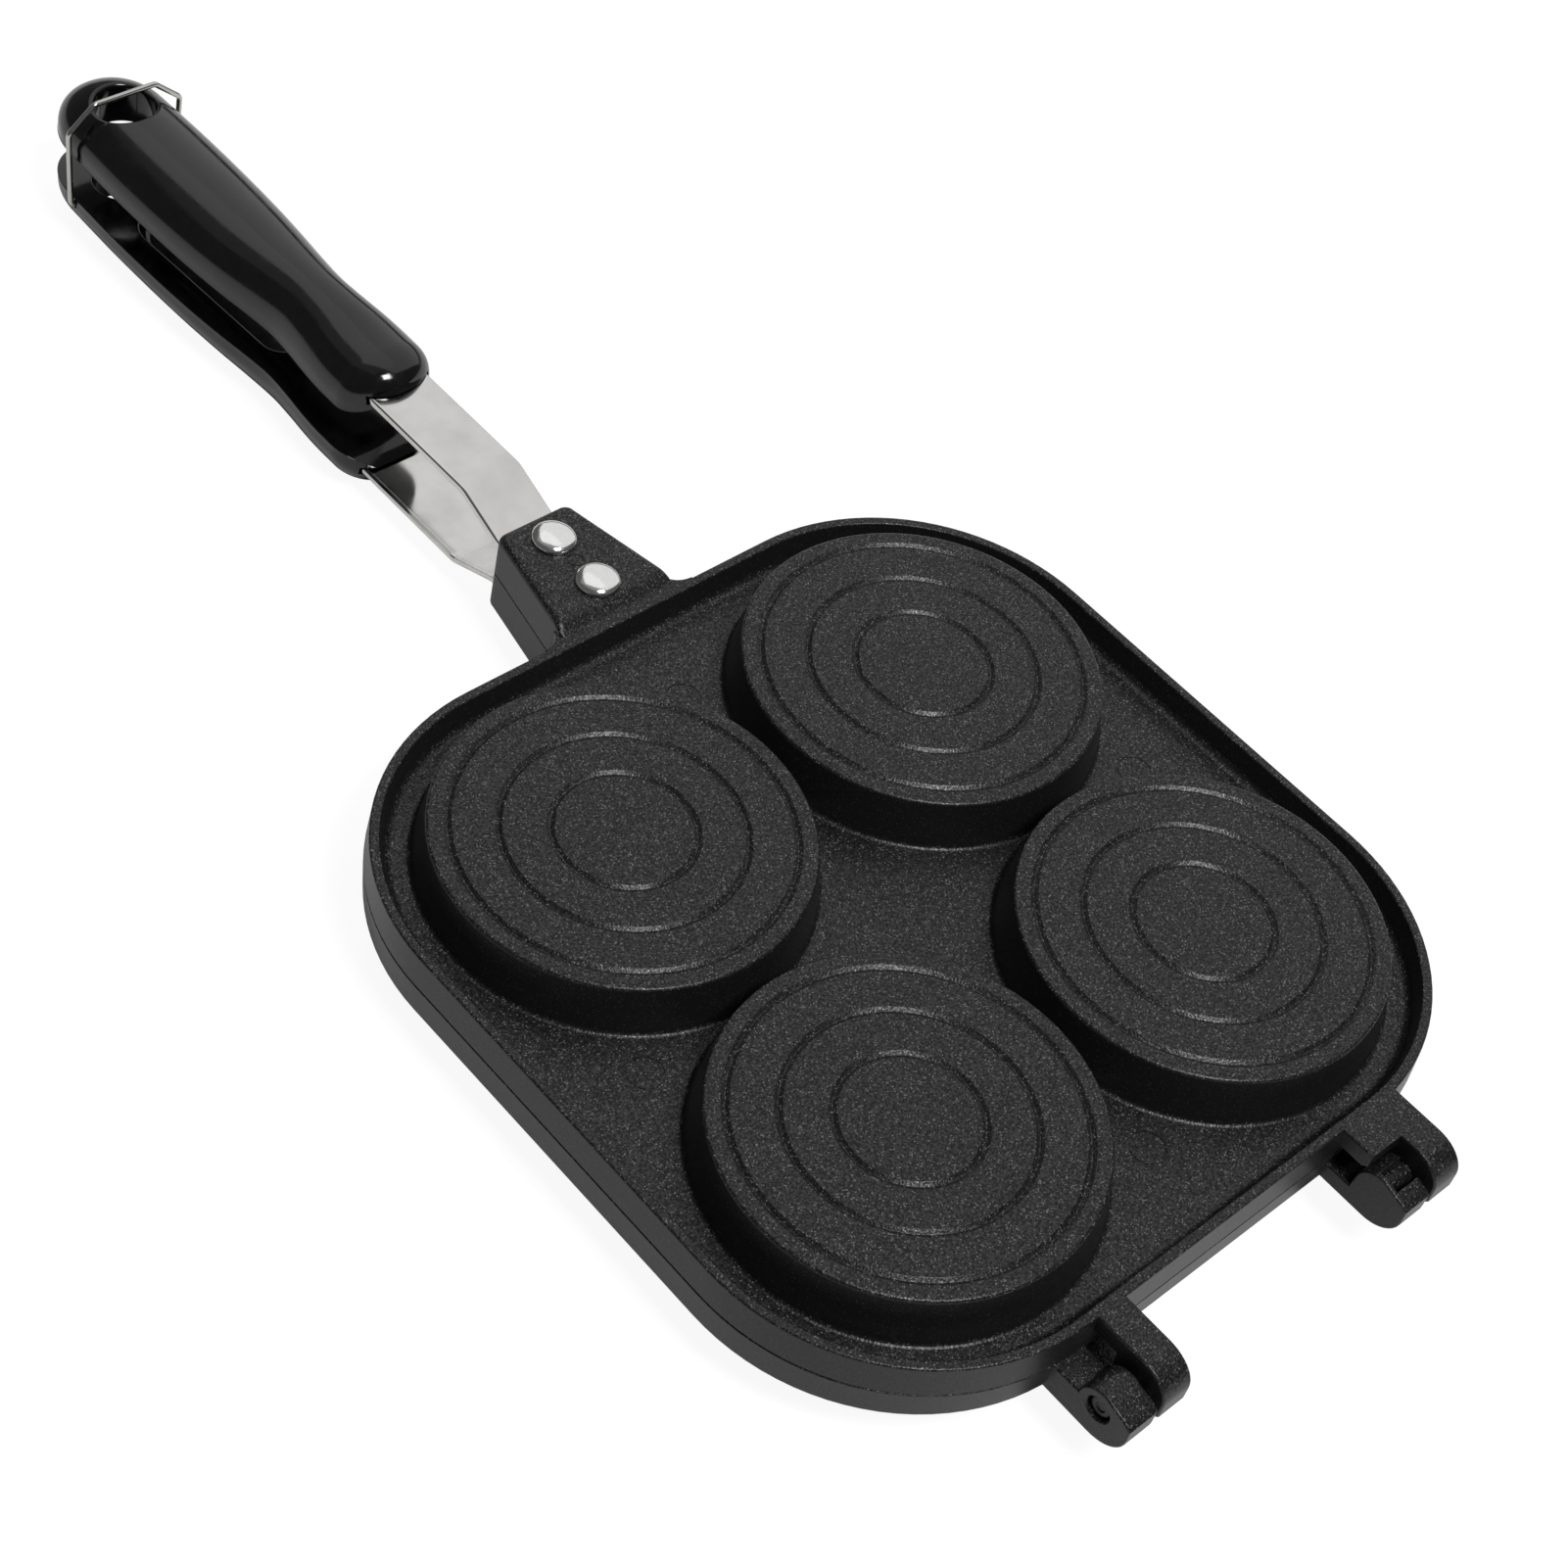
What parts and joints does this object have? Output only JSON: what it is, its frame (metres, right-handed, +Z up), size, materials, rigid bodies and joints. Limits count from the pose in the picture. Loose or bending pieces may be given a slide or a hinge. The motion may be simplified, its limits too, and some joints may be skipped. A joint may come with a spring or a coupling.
{
  "type": "double-sided frying pan",
  "caption": "Hinged frying pan of matching cast halves with round moulds, riveted straps, black grips and a wire loop that locks the grips together.",
  "frame": {"origin": "under the middle of the closed pan's box, level with its lowest point, the crown of the lower grip", "axes": "+Z up out of the upper half, +Y from the hinge towards the grips, X along the hinge's axis"},
  "size_m": [0.1868, 0.4108, 0.0394],
  "materials": {
    "black_coating": "cast aluminium under a charcoal non-stick coating with fine pale specks",
    "coated_pin": "steel under the same charcoal coating",
    "strap_steel": "satin stainless sheet",
    "rivet_metal": "polished dome",
    "black_grip": "glossy black phenolic moulding",
    "wire_steel": "bright drawn wire"
  },
  "bodies": {
    "lower_half": {"lower_pan": "black_coating", "lower_hinge_pin": "coated_pin", "lower_strap": "strap_steel", "lower_rivet_front": "rivet_metal", "lower_rivet_rear": "rivet_metal", "lower_grip": "black_grip"},
    "upper_half": {"upper_pan": "black_coating", "upper_hinge_pin": "coated_pin", "upper_strap": "strap_steel", "upper_rivet_front": "rivet_metal", "upper_rivet_rear": "rivet_metal", "upper_grip": "black_grip"},
    "lock_wire": {"lock_wire": "wire_steel"}
  },
  "joints": [
    {"name": "upper_half_hinge", "type": "hinge", "parent": "lower_half", "child": "upper_half", "pos_m": [0, -0.1978, 0.019], "axis": [1, 0, 0], "range_deg": [0, 90]},
    {"name": "lock_wire_swing", "type": "hinge", "parent": "lower_half", "child": "lock_wire", "pos_m": [0, 0.1876, 0.011], "axis": [-1, 0, 0], "range_deg": [0, 100]}
  ]
}
